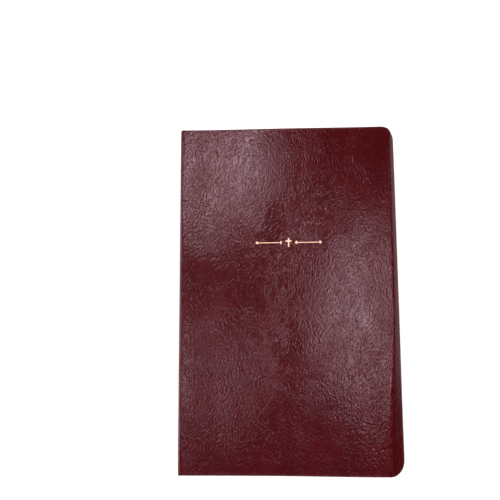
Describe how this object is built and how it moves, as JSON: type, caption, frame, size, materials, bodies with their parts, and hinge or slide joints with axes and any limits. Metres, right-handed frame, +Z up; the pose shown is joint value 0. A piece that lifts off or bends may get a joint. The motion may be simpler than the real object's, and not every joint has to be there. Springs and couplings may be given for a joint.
{
  "type": "bible",
  "caption": "Closed soft-cover bible with a flexible burgundy leather-look cover, sewn sections and a small foil ornament; both covers and the middle opening are hinged.",
  "frame": {"origin": "centre of the closed book's footprint, on the surface that its back cover lies on", "axes": "+Y from tail to head along the spine, +X from the spine to the fore-edge, +Z up from the back cover to the front cover"},
  "size_m": [0.14, 0.222, 0.0279],
  "materials": {
    "cover_skin": "burgundy imitation leather, fine grain, satin sheen",
    "cover_card": "thin flexible card, plain",
    "endpaper": "plain cream endpaper",
    "bible_paper": "thin off-white bible paper",
    "gold_foil": "hot-stamped gold foil",
    "spine_inlay": "thin spine paper, plain",
    "mull": "open woven lining cloth",
    "spine_glue": "dry flexible binding glue",
    "sewing_thread": "white sewing thread",
    "end_bands": "woven gold and burgundy end band"
  },
  "bodies": {
    "back_cover": {"back_cover_skin": "cover_skin", "back_cover_card": "cover_card", "back_pastedown": "endpaper"},
    "back_flyleaf": {"back_flyleaf": "endpaper"},
    "lower_block": {"lower_section_01": "bible_paper", "lower_section_02": "bible_paper", "lower_section_03": "bible_paper", "lower_section_04": "bible_paper", "lower_section_05": "bible_paper", "lower_section_06": "bible_paper", "lower_section_07": "bible_paper", "lower_section_08": "bible_paper", "lower_section_09": "bible_paper", "lower_spine_skin": "cover_skin", "lower_spine_inlay": "spine_inlay", "lower_spine_mull": "mull", "lower_spine_glue": "spine_glue", "lower_sewing_thread": "sewing_thread", "lower_headband": "end_bands", "lower_tailband": "end_bands"},
    "upper_block": {"upper_section_01": "bible_paper", "upper_section_02": "bible_paper", "upper_section_03": "bible_paper", "upper_section_04": "bible_paper", "upper_section_05": "bible_paper", "upper_section_06": "bible_paper", "upper_section_07": "bible_paper", "upper_section_08": "bible_paper", "upper_section_09": "bible_paper", "upper_spine_skin": "cover_skin", "upper_spine_inlay": "spine_inlay", "upper_spine_mull": "mull", "upper_spine_glue": "spine_glue", "upper_sewing_thread": "sewing_thread", "upper_headband": "end_bands", "upper_tailband": "end_bands"},
    "front_flyleaf": {"front_flyleaf": "endpaper"},
    "front_cover": {"front_cover_skin": "cover_skin", "front_cover_card": "cover_card", "front_pastedown": "endpaper", "foil_ornament": "gold_foil"},
    "middle_leaf_1": {"middle_leaf_1": "bible_paper"},
    "middle_leaf_2": {"middle_leaf_2": "bible_paper"},
    "middle_leaf_3": {"middle_leaf_3": "bible_paper"},
    "middle_leaf_4": {"middle_leaf_4": "bible_paper"},
    "middle_leaf_5": {"middle_leaf_5": "bible_paper"}
  },
  "joints": [
    {"name": "back_cover_hinge", "type": "hinge", "parent": "back_cover", "child": "lower_block", "pos_m": [-0.0702, 0, -0.0002], "axis": [0, 1, 0], "range_deg": [-90, 0]},
    {"name": "middle_opening", "type": "hinge", "parent": "lower_block", "child": "upper_block", "pos_m": [-0.0702, 0, 0.0139], "axis": [0, -1, 0], "range_deg": [0, 180]},
    {"name": "front_cover_hinge", "type": "hinge", "parent": "upper_block", "child": "front_cover", "pos_m": [-0.0702, 0, 0.028], "axis": [0, -1, 0], "range_deg": [0, 180]},
    {"name": "back_flyleaf_turn", "type": "hinge", "parent": "back_cover", "child": "back_flyleaf", "pos_m": [-0.0702, 0, -0.0002], "axis": [0, 1, 0], "range_deg": [-27, 0]},
    {"name": "front_flyleaf_turn", "type": "hinge", "parent": "upper_block", "child": "front_flyleaf", "pos_m": [-0.0702, 0, 0.028], "axis": [0, -1, 0], "range_deg": [0, 27]},
    {"name": "middle_leaf_1_turn", "type": "hinge", "parent": "lower_block", "child": "middle_leaf_1", "pos_m": [-0.0702, 0, 0.0139], "axis": [0, -1, 0], "range_deg": [0, 30]},
    {"name": "middle_leaf_2_turn", "type": "hinge", "parent": "lower_block", "child": "middle_leaf_2", "pos_m": [-0.0702, 0, 0.0139], "axis": [0, -1, 0], "range_deg": [0, 60]},
    {"name": "middle_leaf_3_turn", "type": "hinge", "parent": "lower_block", "child": "middle_leaf_3", "pos_m": [-0.0702, 0, 0.0139], "axis": [0, -1, 0], "range_deg": [0, 90]},
    {"name": "middle_leaf_4_turn", "type": "hinge", "parent": "lower_block", "child": "middle_leaf_4", "pos_m": [-0.0702, 0, 0.0139], "axis": [0, -1, 0], "range_deg": [0, 120]},
    {"name": "middle_leaf_5_turn", "type": "hinge", "parent": "lower_block", "child": "middle_leaf_5", "pos_m": [-0.0702, 0, 0.0139], "axis": [0, -1, 0], "range_deg": [0, 150]}
  ],
  "couplings": [
    {"joint": "back_flyleaf_turn", "follows": "back_cover_hinge", "ratio": 0.3},
    {"joint": "front_flyleaf_turn", "follows": "front_cover_hinge", "ratio": 0.15},
    {"joint": "middle_leaf_1_turn", "follows": "middle_opening", "ratio": 0.1666},
    {"joint": "middle_leaf_2_turn", "follows": "middle_opening", "ratio": 0.3333},
    {"joint": "middle_leaf_3_turn", "follows": "middle_opening", "ratio": 0.5},
    {"joint": "middle_leaf_4_turn", "follows": "middle_opening", "ratio": 0.6666},
    {"joint": "middle_leaf_5_turn", "follows": "middle_opening", "ratio": 0.8333}
  ]
}
